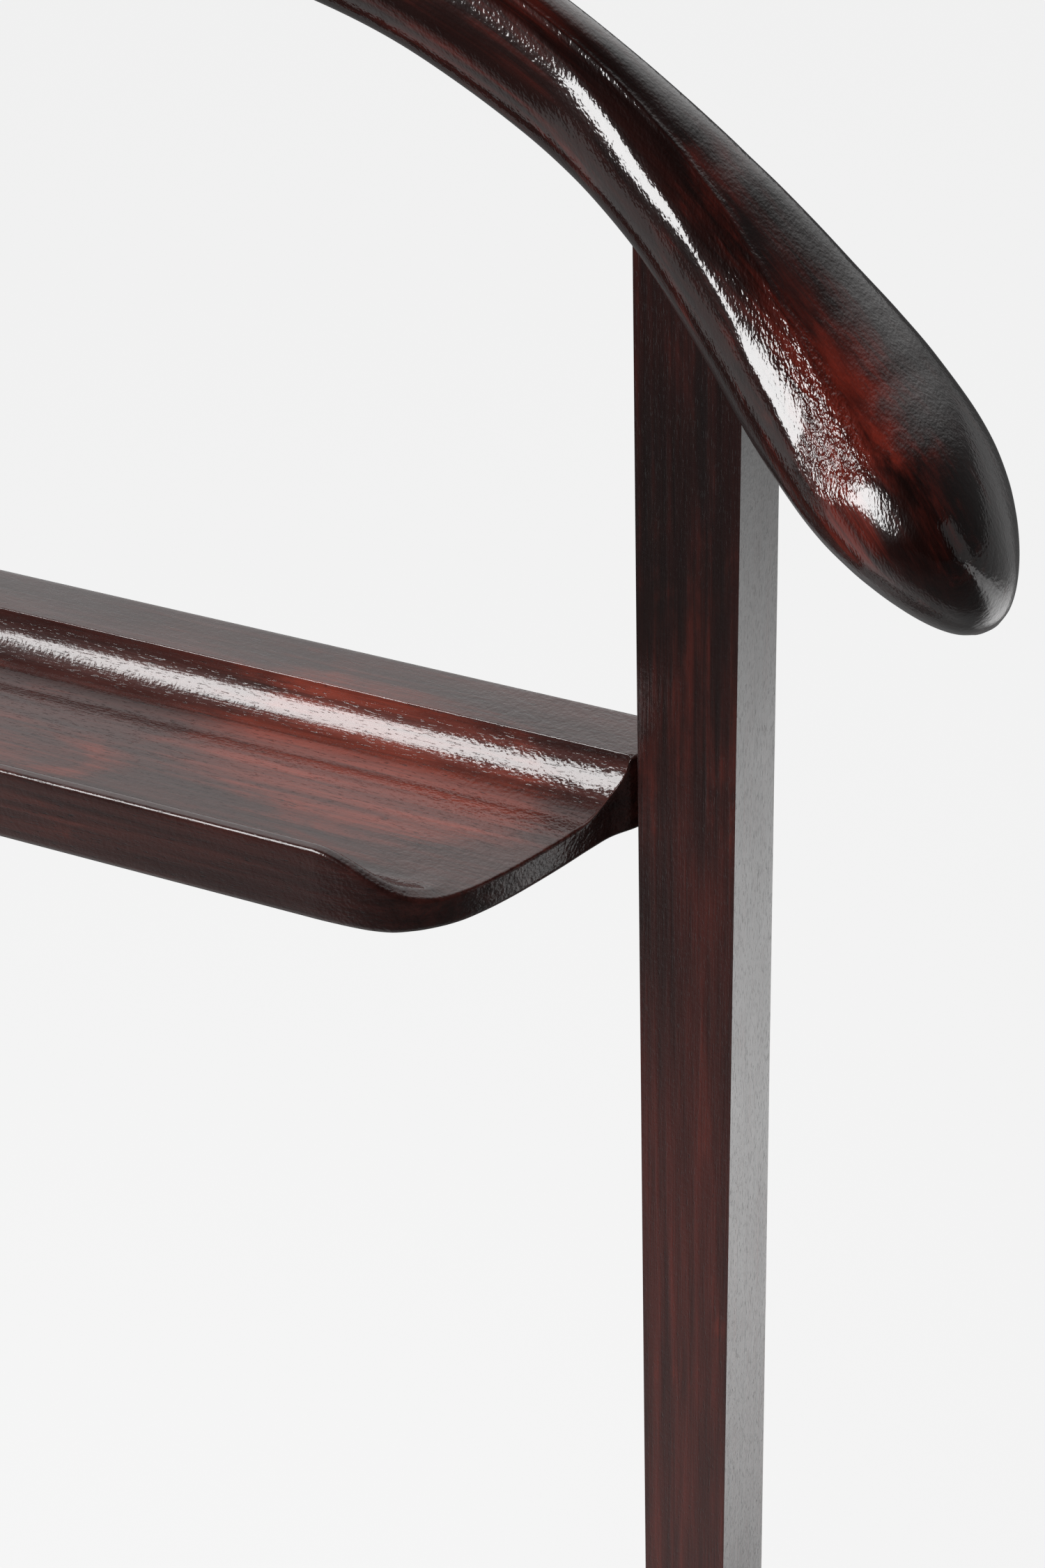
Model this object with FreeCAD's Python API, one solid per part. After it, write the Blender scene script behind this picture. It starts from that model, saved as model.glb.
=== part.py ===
import FreeCAD, Part
import math
import os

os.makedirs("parts", exist_ok=True)

# Clothes valet stand with a trouser press between its uprights. Millimetres.
# Origin: on the floor, in the middle of the two feet. +Z up, -Y is the front, +X is the wearer's right-hand side seen from the front.

# ---- driving dimensions ----
inner_gap = 290.0          # clear width between the two uprights
post_front = 6.0           # front face of the uprights
post_width_ref = 24.6      # upright width at tray height
post_depth_ref = 23.6      # upright depth at tray height
post_width_taper = 0.00687 # width lost per mm downwards
post_depth_taper = 0.0153  # depth gained per mm downwards
tray_z = 920.0             # top of the tray's back rail
tray_back = 24.9
tray_front = -55.5
tray_thick = 20.9
tray_floor_drop = 12.3     # floor below the back rail's top
tray_lip_drop = 0.8        # lip top below the back rail's top
post_top = 1056.0          # top of the tenon in the hanger
foot_len = 360.0
foot_width = 28.0
foot_top = 48.0
glide_h = 4.0

press_z0, press_z1 = 66.0, 476.0
board_w = 284.0
board_t = 10.0
back_board_y = 14.0        # front face of the back board
front_board_y = 7.0        # rear face of the front board
pad_t = 3.0
hinge_y, hinge_z = 10.5, 63.0
hinge_r, pin_r = 3.0, 1.5
hinge_x = 96.0
hinge_half = 25.0

pivot_y, pivot_z = 22.0, 250.0
bar_y, bar_z = -26.4, 458.0
bar_r = 11.0
arm_w, arm_t = 14.0, 3.0
arm_x = 168.1              # inner face of the bail's arms
bail_open = 30.0

half = inner_gap / 2
V = FreeCAD.Vector


def box(x0, x1, y0, y1, z0, z1):
    return Part.makeBox(x1 - x0, y1 - y0, z1 - z0, V(x0, y0, z0))


def cyl(r, p, d, length):
    return Part.makeCylinder(r, length, V(*p), V(*d))


def cone(r0, r1, p, d, length):
    return Part.makeCone(r0, r1, length, V(*p), V(*d))


def face_of(points):
    return Part.Face(Part.makePolygon([V(*p) for p in points] + [V(*points[0])]))


def mirror(shape):
    return shape.mirror(V(0, 0, 0), V(1, 0, 0))


def fuse(items):
    s = items[0]
    for o in items[1:]:
        s = s.fuse(o)
    return s.removeSplitter()


def biggest(shape):
    return max(shape.Solids, key=lambda s: s.Volume)


def soften(shape, radius, keep):
    """Rounds the edges that keep() picks; a corner that can't take the radius gets a smaller one."""
    for r in (radius, radius * 0.6, radius * 0.3):
        edges = [e for e in shape.Edges if keep(e)]
        if not edges:
            return shape
        try:
            s = shape.makeFillet(r, edges)
            if s.isValid() and len(s.Solids) == len(shape.Solids):
                return s
        except Exception:
            pass
    return shape


def line_edge(e):
    return e.Curve.TypeId == "Part::GeomLine"


def along(e, axis, least=0.0):
    if not line_edge(e):
        return False
    d = e.Vertexes[-1].Point.sub(e.Vertexes[0].Point)
    if d.Length < 1e-6:
        return False
    parts = (abs(d.x), abs(d.y), abs(d.z))
    return parts["xyz".index(axis)] > 0.995 * d.Length and d.Length >= least


def save(name, shape):
    solids = shape.Solids
    for s in solids:
        if not s.isValid():
            print("invalid", name)
    out = solids[0] if len(solids) == 1 else Part.makeCompound(solids)
    out.exportStep("parts/" + name + ".step")
    print(name, len(solids), round(sum(s.Volume for s in solids) / 1000.0, 2))


def upright_outer(z):
    return half + post_width_ref + post_width_taper * (z - tray_z)


def upright_back(z):
    return post_front + post_depth_ref - post_depth_taper * (z - tray_z)


# ---- hanger: one shaped piece, a yoke whose ends swell into shoulders ----
# x, y, z of the centre line, slope and sweep of the centre line, roll of the section (degrees), half depth, half thickness
stations = [
    (0.00, 16.47, 1110.23, 0.00, 0.00, -4.22, 12.02, 12.73),
    (22.00, 16.50, 1109.67, -3.10, 0.15, -4.15, 11.97, 12.79),
    (42.50, 16.58, 1107.90, -6.90, 0.35, -4.00, 11.89, 12.91),
    (69.15, 16.70, 1103.22, -13.40, 0.60, -3.60, 11.65, 13.31),
    (91.36, 16.96, 1096.20, -21.80, 0.57, -3.17, 11.48, 13.73),
    (109.69, 16.96, 1087.64, -27.75, -0.88, -2.90, 11.42, 13.96),
    (124.79, 16.31, 1079.22, -30.49, -3.57, -2.76, 11.51, 14.00),
    (137.28, 15.03, 1071.56, -32.44, -6.53, -2.70, 13.32, 13.76),
    (146.55, 13.51, 1065.57, -33.17, -9.12, -2.69, 15.64, 13.54),
    (154.94, 11.74, 1059.87, -35.83, -10.27, -2.91, 17.40, 13.73),
    (162.20, 10.12, 1054.23, -39.72, -9.45, -4.04, 18.68, 14.67),
    (170.23, 8.48, 1047.11, -42.86, -8.43, -6.02, 20.23, 15.87),
    (179.55, 6.47, 1038.38, -42.97, -9.73, -8.72, 22.54, 17.13),
    (188.61, 4.12, 1030.14, -41.56, -11.97, -11.43, 25.31, 18.45),
    (196.69, 1.70, 1023.03, -41.29, -13.23, -13.86, 27.86, 19.25),
    (205.12, -1.01, 1015.52, -42.35, -13.70, -16.48, 30.63, 19.45),
    (211.41, -3.11, 1009.63, -44.00, -13.61, -18.54, 33.00, 18.94),
    (217.46, -5.15, 1003.55, -46.45, -13.13, -20.68, 33.59, 17.47),
    (222.19, -6.75, 998.34, -49.20, -12.38, -22.50, 31.41, 15.50),
    (225.70, -7.92, 994.09, -51.95, -11.52, -23.98, 27.26, 13.32),
    (228.12, -8.72, 990.85, -54.39, -10.68, -25.10, 22.75, 11.12),
    (229.93, -9.29, 988.23, -56.59, -9.87, -26.00, 17.90, 8.75),
    (231.19, -9.69, 986.25, -58.41, -9.18, -26.68, 12.80, 6.26),
    (231.99, -9.93, 984.93, -59.70, -8.67, -27.13, 7.44, 3.63),
]
section_points = 24
section_power = 0.9


def section(st, side):
    x, y, z, slope, sweep, roll, a, b = st
    sl, sw, ro = math.radians(slope), math.radians(sweep), math.radians(roll)
    t = V(math.cos(sl) * math.cos(sw), math.sin(sw), math.sin(sl) * math.cos(sw))
    n1 = V(0, 1, 0) - t * t.y
    n1.normalize()
    n2 = t.cross(n1)
    m1 = n1 * math.cos(ro) + n2 * math.sin(ro)
    m2 = n1 * -math.sin(ro) + n2 * math.cos(ro)
    pts = []
    for i in range(section_points):
        v = 2 * math.pi * i / section_points
        c, s = math.cos(v), math.sin(v)
        cu = math.copysign(abs(c) ** section_power, c)
        su = math.copysign(abs(s) ** section_power, s)
        p = V(x, y, z) + m1 * (a * cu) + m2 * (b * su)
        pts.append(V(side * p.x, p.y, p.z))
    curve = Part.BSplineCurve()
    curve.interpolate(Points=pts, PeriodicFlag=True)
    u0, u1 = curve.FirstParameter, curve.LastParameter
    um = 0.5 * (u0 + u1)
    return Part.Wire([curve.toShape(u0, um), curve.toShape(um, u1)])


wires = [section(s, -1) for s in stations[:0:-1]] + [section(s, 1) for s in stations]
yoke = Part.makeLoft(wires, True, False)
if yoke.Volume < 0:
    yoke = yoke.reversed()
yoke = Part.Solid(yoke.Shells[0]) if yoke.ShapeType != "Solid" else yoke
if yoke.Volume < 0:
    yoke.reverse()
print("yoke", yoke.isValid(), round(yoke.Volume / 1000, 1), yoke.BoundBox)


# ---- uprights: tapered posts, tenoned into the hanger above and the foot below ----
def post_blank():
    zs = (foot_top, post_top)
    rings = []
    for z in zs:
        xo, yb = upright_outer(z), upright_back(z)
        rings.append(Part.makePolygon([V(half, post_front, z), V(xo, post_front, z), V(xo, yb, z), V(half, yb, z), V(half, post_front, z)]))
    return Part.makeLoft(rings, True, True)


tenon_top = box(half + 3.5, half + 19.5, 10, 24, 1010, post_top)
tenon_foot = box(half + 4, half + 14.5, 12, 37, 24, foot_top + 1)
blank = post_blank()
blank = soften(blank, 1.3, lambda e: line_edge(e) and e.Length > 500)
post = biggest(blank.cut(yoke))
post = fuse([post, tenon_top, tenon_foot])
hanger = yoke.cut(fuse([tenon_top])).cut(mirror(tenon_top))

# pegs that lock each tenon, driven in from the back of the hanger
peg = cyl(2.5, (half + 11.5, 34, 1044.6), (0, -1, 0), 21).common(yoke)
hanger = hanger.cut(peg).cut(mirror(peg))
post = post.cut(peg)
save("hanger", hanger)
save("hanger_pegs", Part.makeCompound([peg, mirror(peg)]))

# holes in the post for the tray's dowels, the press rails' dowels, the bail's insert and stop, and the foot screw
tray_dowel_pts = [(13.0, tray_z - 10.4), (20.4, tray_z - 10.4)]
rail_y0, rail_y1 = 24.0, 36.5
rail_lower = (72.0, 108.0)
rail_upper = (418.0, 450.0)
rail_dowel_pts = [(30.2, rail_lower[0] + 9), (30.2, rail_lower[1] - 9), (30.2, rail_upper[0] + 8), (30.2, rail_upper[1] - 8)]
tray_dowels = [cyl(2.5, (half - 12, y, z), (1, 0, 0), 24) for y, z in tray_dowel_pts]
rail_dowels = [cyl(3.5, (half - 12, y, z), (1, 0, 0), 24) for y, z in rail_dowel_pts]
open_lean = math.atan2(-(bar_y - pivot_y), bar_z - pivot_z)
arm_len = math.hypot(bar_y - pivot_y, bar_z - pivot_z)
stop_r, stop_reach = 2.5, 16.0
stop_angle = open_lean + math.radians(bail_open) + math.asin((arm_w / 2 + stop_r + 0.4) / stop_reach)
stop_y = pivot_y + stop_reach * math.sin(stop_angle)
stop_z = pivot_z - stop_reach * math.cos(stop_angle)
stop = cyl(stop_r, (upright_outer(stop_z) - 12, stop_y, stop_z), (1, 0, 0), 12 + 6.5)
stop = soften(stop, 0.8, lambda e: e.Curve.TypeId == "Part::GeomCircle" and e.Vertexes[0].Point.x > arm_x)
insert = cyl(5.0, (upright_outer(pivot_z) - 14.5, pivot_y, pivot_z), (1, 0, 0), 14.0).cut(cyl(3.0, (100, pivot_y, pivot_z), (1, 0, 0), 100))
foot_screw = fuse([cyl(2.5, (half + 9, 24.5, 18), (0, 0, 1), 55), cyl(5.0, (half + 9, 24.5, 15), (0, 0, 1), 4)])
for d in tray_dowels + rail_dowels + [stop, cyl(5.0, (upright_outer(pivot_z) - 14.5, pivot_y, pivot_z), (1, 0, 0), 40), foot_screw]:
    post = post.cut(d)
post = biggest(post)
save("upright_right", post)
save("upright_left", mirror(post))

# ---- tray: one board hollowed out, with a back rail, a low front lip and swept ends ----
zt = tray_z
zf = tray_z - tray_floor_drop
zl = tray_z - tray_lip_drop
zb = tray_z - tray_thick
sec = []


def arc_pts(cy, cz, ry, rz, a0, a1, n):
    out = []
    for i in range(n + 1):
        a = math.radians(a0 + (a1 - a0) * i / n)
        out.append((cy + ry * math.cos(a), cz + rz * math.sin(a)))
    return out


sec += arc_pts(tray_front + 2.5, zb + 2.5, 2.5, 2.5, 270, 180, 5)
sec += arc_pts(tray_front + 1.3, zl - 1.3, 1.3, 1.3, 180, 90, 4)
sec += arc_pts(tray_front + 3.6, zl - 1.3, 1.3, 1.3, 90, 20, 3)
sec += arc_pts(tray_front + 11.9, zf + 9.4, 7.0, 9.4, 190, 270, 8)
sec += arc_pts(-7.1, zf + 7.8, 9.4, 7.8, 270, 350, 8)
sec += arc_pts(tray_back - 15.2, zt - 4.1, 4.5, 4.1, 160, 90, 6)
sec += arc_pts(tray_back - 1.2, zt - 1.2, 1.2, 1.2, 90, 0, 3)
sec += arc_pts(tray_back - 2.5, zb + 2.5, 2.5, 2.5, 0, -90, 5)
prof = face_of([(-half, y, z) for y, z in sec])
tray = prof.extrude(V(2 * half, 0, 0))
# the end's outline seen from above, from the lip's corner round to the upright
end_curve = [(92.0, -55.5), (98.3, -55.3), (104.4, -54.8), (110.0, -53.5), (114.9, -50.8), (119.3, -47.1), (123.2, -42.5), (126.5, -36.6),
             (129.5, -29.8), (132.2, -22.5), (134.8, -14.7), (137.3, -6.5), (140.2, 1.7), (143.7, 7.3), (145.0, 9.6)]
bs = Part.BSplineCurve()
bs.interpolate([V(x, y, 0) for x, y in end_curve])
cut_edge = bs.toShape()
out_poly = Part.makePolygon([V(145.0, 9.6, 0), V(160, 9.6, 0), V(160, -70, 0), V(92.0, -70, 0), V(92.0, -55.5, 0)])
cutter = Part.Face(Part.Wire([cut_edge] + out_poly.Edges)).extrude(V(0, 0, 100)).translate(V(0, 0, zb - 20))
# the lip runs down to the floor's level before the corner
ramp = [(92.5, zl + 0.01), (96.6, zl - 0.7), (101.5, zl - 3.0), (106.5, zl - 6.1), (111.4, zl - 9.0), (115.5, zl - 10.8), (119.6, zf)]
rs = Part.BSplineCurve()
rs.interpolate([V(x, -80, z) for x, z in ramp])
ramp_poly = Part.makePolygon([V(119.6, -80, zf), V(160, -80, zf), V(160, -80, zt + 20), V(92.5, -80, zt + 20), V(92.5, -80, zl + 0.01)])
ramp_cut = Part.Face(Part.Wire([rs.toShape()] + ramp_poly.Edges)).extrude(V(0, 44, 0))
for c in (cutter, ramp_cut):
    tray = tray.cut(c).cut(mirror(c))
tray = biggest(tray)
for d in tray_dowels:
    tray = tray.cut(d).cut(mirror(d))
save("tray", tray)
save("tray_dowels", Part.makeCompound(tray_dowels + [mirror(d) for d in tray_dowels]))


# ---- feet: shaped sledge feet with an arched underside ----
fx0, fx1 = half - 4, half - 4 + foot_width
top_curve = [(172, 22.0), (130, 27.5), (90, 37.0), (56, foot_top)]
bs1 = Part.BSplineCurve()
bs1.interpolate([V(0, y, z) for y, z in top_curve])
bs2 = Part.BSplineCurve()
bs2.interpolate([V(0, y, z) for y, z in [(0, foot_top), (-50, 38.5), (-110, 28.0), (-172, 20.0)]])
tip_r = Part.Arc(V(0, 166, glide_h), V(0, 180, 12.5), V(0, 172, 22.0)).toShape()
tip_l = Part.Arc(V(0, -172, 20.0), V(0, -180, 11.5), V(0, -166, glide_h)).toShape()
arch = Part.Arc(V(0, -112, glide_h), V(0, 0, 14.0), V(0, 112, glide_h)).toShape()
edges = [tip_r, bs1.toShape(), Part.makeLine(V(0, 56, foot_top), V(0, 0, foot_top)), bs2.toShape(), tip_l,
         Part.makeLine(V(0, -166, glide_h), V(0, -112, glide_h)), arch, Part.makeLine(V(0, 112, glide_h), V(0, 166, glide_h))]
foot = Part.Face(Part.Wire(Part.__sortEdges__(edges))).extrude(V(foot_width, 0, 0)).translate(V(fx0, 0, 0))
foot = soften(foot, 3.0, lambda e: abs(e.BoundBox.XMax - e.BoundBox.XMin) < 0.01 and e.BoundBox.ZMax > 5)
foot = foot.cut(tenon_foot)
foot_bore = cyl(6.5, (half + 9, 24.5, 0), (0, 0, 1), 19)
foot = foot.cut(foot_bore).cut(foot_screw)
rail_ys = (-105.0, 105.0)
rail_mid = 20.0
shoe_tenons = [cyl(5.0, (fx0 - 1, y, rail_mid), (1, 0, 0), 13) for y in rail_ys]
shoe_screws = []
for y in rail_ys:
    s = fuse([cyl(2.0, (115, y, rail_mid), (1, 0, 0), fx1 - 115 - 0.5), cone(2.0, 4.6, (fx1 - 3.2, y, rail_mid), (1, 0, 0), 3.0)])
    shoe_screws.append(s)
glides = []
for y in (-145.0, 145.0):
    glides.append(fuse([cyl(11.0, ((fx0 + fx1) / 2, y, 0), (0, 0, 1), glide_h), cyl(1.4, ((fx0 + fx1) / 2, y, glide_h - 1), (0, 0, 1), 9)]))
glides = [soften(g, 0.8, lambda e: e.Curve.TypeId == "Part::GeomCircle" and e.BoundBox.ZMax < 0.1) for g in glides]
for d in shoe_tenons + shoe_screws + glides:
    foot = foot.cut(d)
foot = biggest(foot)
save("foot_right", foot)
save("foot_left", mirror(foot))
save("foot_screws", Part.makeCompound([foot_screw, mirror(foot_screw)]))
save("glides", Part.makeCompound(glides + [mirror(g) for g in glides]))

# ---- floor rails between the feet: they tie the feet together and carry shoes ----
for name, y in (("shoe_rail_front", rail_ys[0]), ("shoe_rail_rear", rail_ys[1])):
    r = box(-fx0, fx0, y - 11, y + 11, rail_mid - 9, rail_mid + 9)
    r = soften(r, 3.5, lambda e: along(e, "x", 100))
    t = cyl(5.0, (fx0 - 1, y, rail_mid), (1, 0, 0), 13)
    r = fuse([r, t, mirror(t)])
    for s in shoe_screws:
        r = r.cut(s).cut(mirror(s))
    save(name, r)
slots = [box(fx1 - 1.2, fx1 + 1, y - 0.45, y + 0.45, rail_mid - 6, rail_mid + 6) for y in rail_ys]
shoe_screws = [s.cut(d) for s, d in zip(shoe_screws, slots)]
save("shoe_rail_screws", Part.makeCompound(shoe_screws + [mirror(s) for s in shoe_screws]))

# ---- trouser press: a fixed back board on two rails, and a front board hinged along its lower edge ----
board_screws = []
for z in (sum(rail_lower) / 2, sum(rail_upper) / 2):
    for x in (-100.0, 0.0, 100.0):
        head = cyl(3.6, (x, rail_y1, z), (0, 1, 0), 1.9)
        head = soften(head, 1.4, lambda e: e.Curve.TypeId == "Part::GeomCircle" and e.BoundBox.YMin > rail_y1 + 1)
        s = fuse([head, cyl(1.75, (x, 17, z), (0, 1, 0), rail_y1 - 17 + 0.5)])
        board_screws.append(s.cut(box(x - 5, x + 5, rail_y1 + 1.0, rail_y1 + 3, z - 0.4, z + 0.4)))
for name, (z0, z1) in (("press_rail_lower", rail_lower), ("press_rail_upper", rail_upper)):
    r = box(-half, half, rail_y0, rail_y1, z0, z1)
    r = soften(r, 2.0, lambda e: along(e, "x", 100) and e.BoundBox.YMin > rail_y1 - 0.1)
    for d in rail_dowels:
        r = r.cut(d).cut(mirror(d))
    for s in board_screws:
        r = r.cut(s)
    save(name, biggest(r))
save("press_rail_dowels", Part.makeCompound(rail_dowels + [mirror(d) for d in rail_dowels]))
save("back_board_screws", Part.makeCompound(board_screws))

hw = board_w / 2
back_board = box(-hw, hw, back_board_y, back_board_y + board_t, press_z0, press_z1)
back_board = soften(back_board, 10.0, lambda e: along(e, "y") and e.BoundBox.ZMin > press_z1 - 1)
back_board = soften(back_board, 2.0, lambda e: e.BoundBox.ZMax > press_z0 + 5 and e.BoundBox.YMax - e.BoundBox.YMin < 0.01 and e.BoundBox.YMin > back_board_y + 5)
fb0 = front_board_y - board_t
front_board = box(-hw, hw, fb0, front_board_y, press_z0, press_z1 - 4)
front_board = soften(front_board, 10.0, lambda e: along(e, "y") and e.BoundBox.ZMin > press_z1 - 6)
front_board = soften(front_board, 2.5, lambda e: e.BoundBox.YMax < fb0 + 0.01 and e.BoundBox.ZMax > press_z0 + 5)

hinge_screws_fixed, hinge_screws_moving = [], []
fixed_leaves, moving_leaves, hinge_pins = [], [], []
for cx in (-hinge_x, hinge_x):
    bore = cyl(pin_r + 0.05, (cx - 40, hinge_y, hinge_z), (1, 0, 0), 80)
    top = hinge_z + hinge_r
    fx = [box(cx - hinge_half, cx + hinge_half, back_board_y, back_board_y + board_t, top - 1.5, top)]
    for s0, s1 in ((-hinge_half, -9.2), (9.2, hinge_half)):
        fx.append(cyl(hinge_r, (cx + s0, hinge_y, hinge_z), (1, 0, 0), s1 - s0))
        fx.append(box(cx + s0, cx + s1, hinge_y, back_board_y + 0.5, top - 1.5, top))
    fl = fuse(fx).cut(bore)
    mv = [box(cx - hinge_half, cx + hinge_half, fb0, front_board_y, top - 1.5, top),
          cyl(hinge_r, (cx - 8.8, hinge_y, hinge_z), (1, 0, 0), 17.6),
          box(cx - 8.8, cx + 8.8, front_board_y - 0.5, hinge_y, top - 1.5, top)]
    ml = fuse(mv).cut(bore)
    for k, dx in enumerate((-16.0, 16.0)):
        for yy, leaf, bag in ((back_board_y + 5.5, "f", hinge_screws_fixed), (fb0 + 4.5, "m", hinge_screws_moving)):
            s = fuse([cyl(1.25, (cx + dx, yy, top - 1.6), (0, 0, 1), 13), cyl(2.4, (cx + dx, yy, top - 2.7), (0, 0, 1), 1.2)])
            bag.append(s)
    for s in hinge_screws_fixed:
        fl = fl.cut(s)
    for s in hinge_screws_moving:
        ml = ml.cut(s)
    fixed_leaves.append(fl)
    moving_leaves.append(ml)
    p = fuse([cyl(pin_r, (cx - hinge_half - 0.5, hinge_y, hinge_z), (1, 0, 0), 2 * hinge_half + 1),
              Part.makeSphere(2.2, V(cx - hinge_half - 1.2 - 1.2, hinge_y, hinge_z)), Part.makeSphere(2.2, V(cx + hinge_half + 1.2 + 1.2, hinge_y, hinge_z))])
    hinge_pins.append(p)
for s in hinge_screws_fixed + board_screws:
    back_board = back_board.cut(s)

# battens stiffen the front board; they thicken towards the top so that the bail wedges the boards together
batten_z0, batten_z1 = 96.0, 468.0
batten_w = 20.0
battens, batten_screws = [], []
for cx in (-90.0, 90.0):
    b = face_of([(cx - batten_w / 2, fb0, batten_z0), (cx - batten_w / 2, fb0 - 6.0, batten_z0), (cx - batten_w / 2, fb0 - 12.0, batten_z1 - 10),
                 (cx - batten_w / 2, fb0 - 9.0, batten_z1), (cx - batten_w / 2, fb0, batten_z1)]).extrude(V(batten_w, 0, 0))
    b = soften(b, 1.5, lambda e: e.Length > 300 and e.BoundBox.YMin < fb0 - 1)
    for z in (130.0, 280.0, 430.0):
        s = fuse([cyl(1.5, (cx, fb0 - 5, z), (0, 1, 0), board_t + 4.5), cyl(3.0, (cx, front_board_y - 2.2, z), (0, 1, 0), 2.0)])
        batten_screws.append(s)
        b = b.cut(s)
    battens.append(b)
for s in hinge_screws_moving + batten_screws:
    front_board = front_board.cut(s)
save("press_back_board", biggest(back_board))
save("press_front_board", biggest(front_board))
save("batten_left", battens[0])
save("batten_right", battens[1])
save("batten_screws", Part.makeCompound(batten_screws))
save("hinge_fixed_leaves", Part.makeCompound(fixed_leaves))
save("hinge_moving_leaves", Part.makeCompound(moving_leaves))
save("hinge_pins", Part.makeCompound(hinge_pins))
save("hinge_fixed_screws", Part.makeCompound(hinge_screws_fixed))
save("hinge_moving_screws", Part.makeCompound(hinge_screws_moving))
pw = hw - 4
back_pad = soften(box(-pw, pw, back_board_y - pad_t, back_board_y, press_z0 + 7, press_z1 - 6), 8.0, lambda e: along(e, "y"))
front_pad = soften(box(-pw, pw, front_board_y, front_board_y + pad_t, press_z0 + 7, press_z1 - 10), 8.0, lambda e: along(e, "y"))
save("back_pad", back_pad)
save("front_pad", front_pad)

# ---- bail: two brass arms and a turned bar that swings up in front of the battens and holds the press shut ----
uy, uz = (bar_y - pivot_y) / arm_len, (bar_z - pivot_z) / arm_len
ny, nz = uz, -uy
tail = 20.0
rr = arm_w / 2


def pt(along_arm, across):
    return (pivot_y + uy * along_arm + ny * across, pivot_z + uz * along_arm + nz * across)


slab = [pt(-tail + rr, rr), pt(arm_len, rr), pt(arm_len, -rr), pt(-tail + rr, -rr)]
arm = fuse([face_of([(arm_x, y, z) for y, z in slab]).extrude(V(arm_t, 0, 0)),
            cyl(rr, (arm_x,) + pt(-tail + rr, 0), (1, 0, 0), arm_t),
            cyl(rr + 1.5, (arm_x,) + pt(arm_len, 0), (1, 0, 0), arm_t)])
arm = arm.cut(cyl(4.05, (100, pivot_y, pivot_z), (1, 0, 0), 100)).cut(cyl(2.5, (100, bar_y, bar_z), (1, 0, 0), 100))
arm = soften(arm, 0.7, lambda e: e.BoundBox.XMin > arm_x + arm_t - 0.05)
save("bail_arm_right", arm)
save("bail_arm_left", mirror(arm))
bar_half = arm_x
prof_pts = [(0.0, bar_r), (72.0, bar_r - 0.1), (128.0, bar_r - 0.9), (148.6, bar_r - 2.0), (154.6, bar_r - 3.4)]
bc = Part.BSplineCurve()
bc.interpolate([V(x, 0, r) for x, r in prof_pts])
bead = Part.Arc(V(154.6, 0, bar_r - 3.4), V(160.6, 0, bar_r - 1.0), V(165.1, 0, bar_r - 3.6)).toShape()
end = Part.makePolygon([V(165.1, 0, bar_r - 3.6), V(bar_half, 0, bar_r - 3.6), V(bar_half, 0, 0), V(0, 0, 0), V(0, 0, bar_r)])
half_bar = Part.Face(Part.Wire(Part.__sortEdges__([bc.toShape(), bead] + end.Edges))).revolve(V(0, 0, 0), V(1, 0, 0), 360)
if half_bar.Volume < 0:
    half_bar.reverse()
half_bar.translate(V(0, bar_y, bar_z))
bar = fuse([half_bar, mirror(half_bar)])
bar_screws = []
for side in (1,):
    s = fuse([cyl(2.5, (arm_x - 26, bar_y, bar_z), (1, 0, 0), 26 + arm_t + 0.5),
              Part.makeSphere(7.0, V(arm_x + arm_t - 4.0, bar_y, bar_z)).common(box(arm_x + arm_t, arm_x + arm_t + 10, bar_y - 20, bar_y + 20, bar_z - 20, bar_z + 20))])
    bar_screws += [s, mirror(s)]
for s in bar_screws:
    bar = bar.cut(s)
head_top = max(s.BoundBox.XMax for s in bar_screws)
drive = box(head_top - 1.1, head_top + 1, bar_y - 10, bar_y + 10, bar_z - 0.5, bar_z + 0.5)
bar_screws = [s.cut(drive).cut(mirror(drive)) for s in bar_screws]
save("bail_bar", biggest(bar))
save("bail_bar_screws", Part.makeCompound(bar_screws))

# pivots: shoulder bolts into brass inserts, with a spacer inside each arm and a washer outside it
po = upright_outer(pivot_z)
spacer = cyl(9.0, (po + 0.12, pivot_y, pivot_z), (1, 0, 0), arm_x - 0.3 - po - 0.12).cut(cyl(4.0, (100, pivot_y, pivot_z), (1, 0, 0), 100))
washer = cyl(8.5, (arm_x + arm_t + 0.3, pivot_y, pivot_z), (1, 0, 0), 1.0).cut(cyl(4.0, (100, pivot_y, pivot_z), (1, 0, 0), 100))
hx = arm_x + arm_t + 1.3
bolt = fuse([cyl(4.0, (po + 0.12, pivot_y, pivot_z), (1, 0, 0), hx - po - 0.12 + 0.2), cyl(3.0, (po - 13, pivot_y, pivot_z), (1, 0, 0), 14),
             Part.makeSphere(9.0, V(hx - 5.6, pivot_y, pivot_z)).common(box(hx, hx + 10, pivot_y - 20, pivot_y + 20, pivot_z - 20, pivot_z + 20))])
bolt = bolt.cut(box(hx + 2.2, hx + 10, pivot_y - 0.6, pivot_y + 0.6, pivot_z - 12, pivot_z + 12))
save("pivot_bolts", Part.makeCompound([bolt, mirror(bolt)]))
save("pivot_spacers", Part.makeCompound([spacer, mirror(spacer)]))
save("pivot_washers", Part.makeCompound([washer, mirror(washer)]))
save("pivot_inserts", Part.makeCompound([insert, mirror(insert)]))
save("stop_pins", Part.makeCompound([stop, mirror(stop)]))
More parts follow.
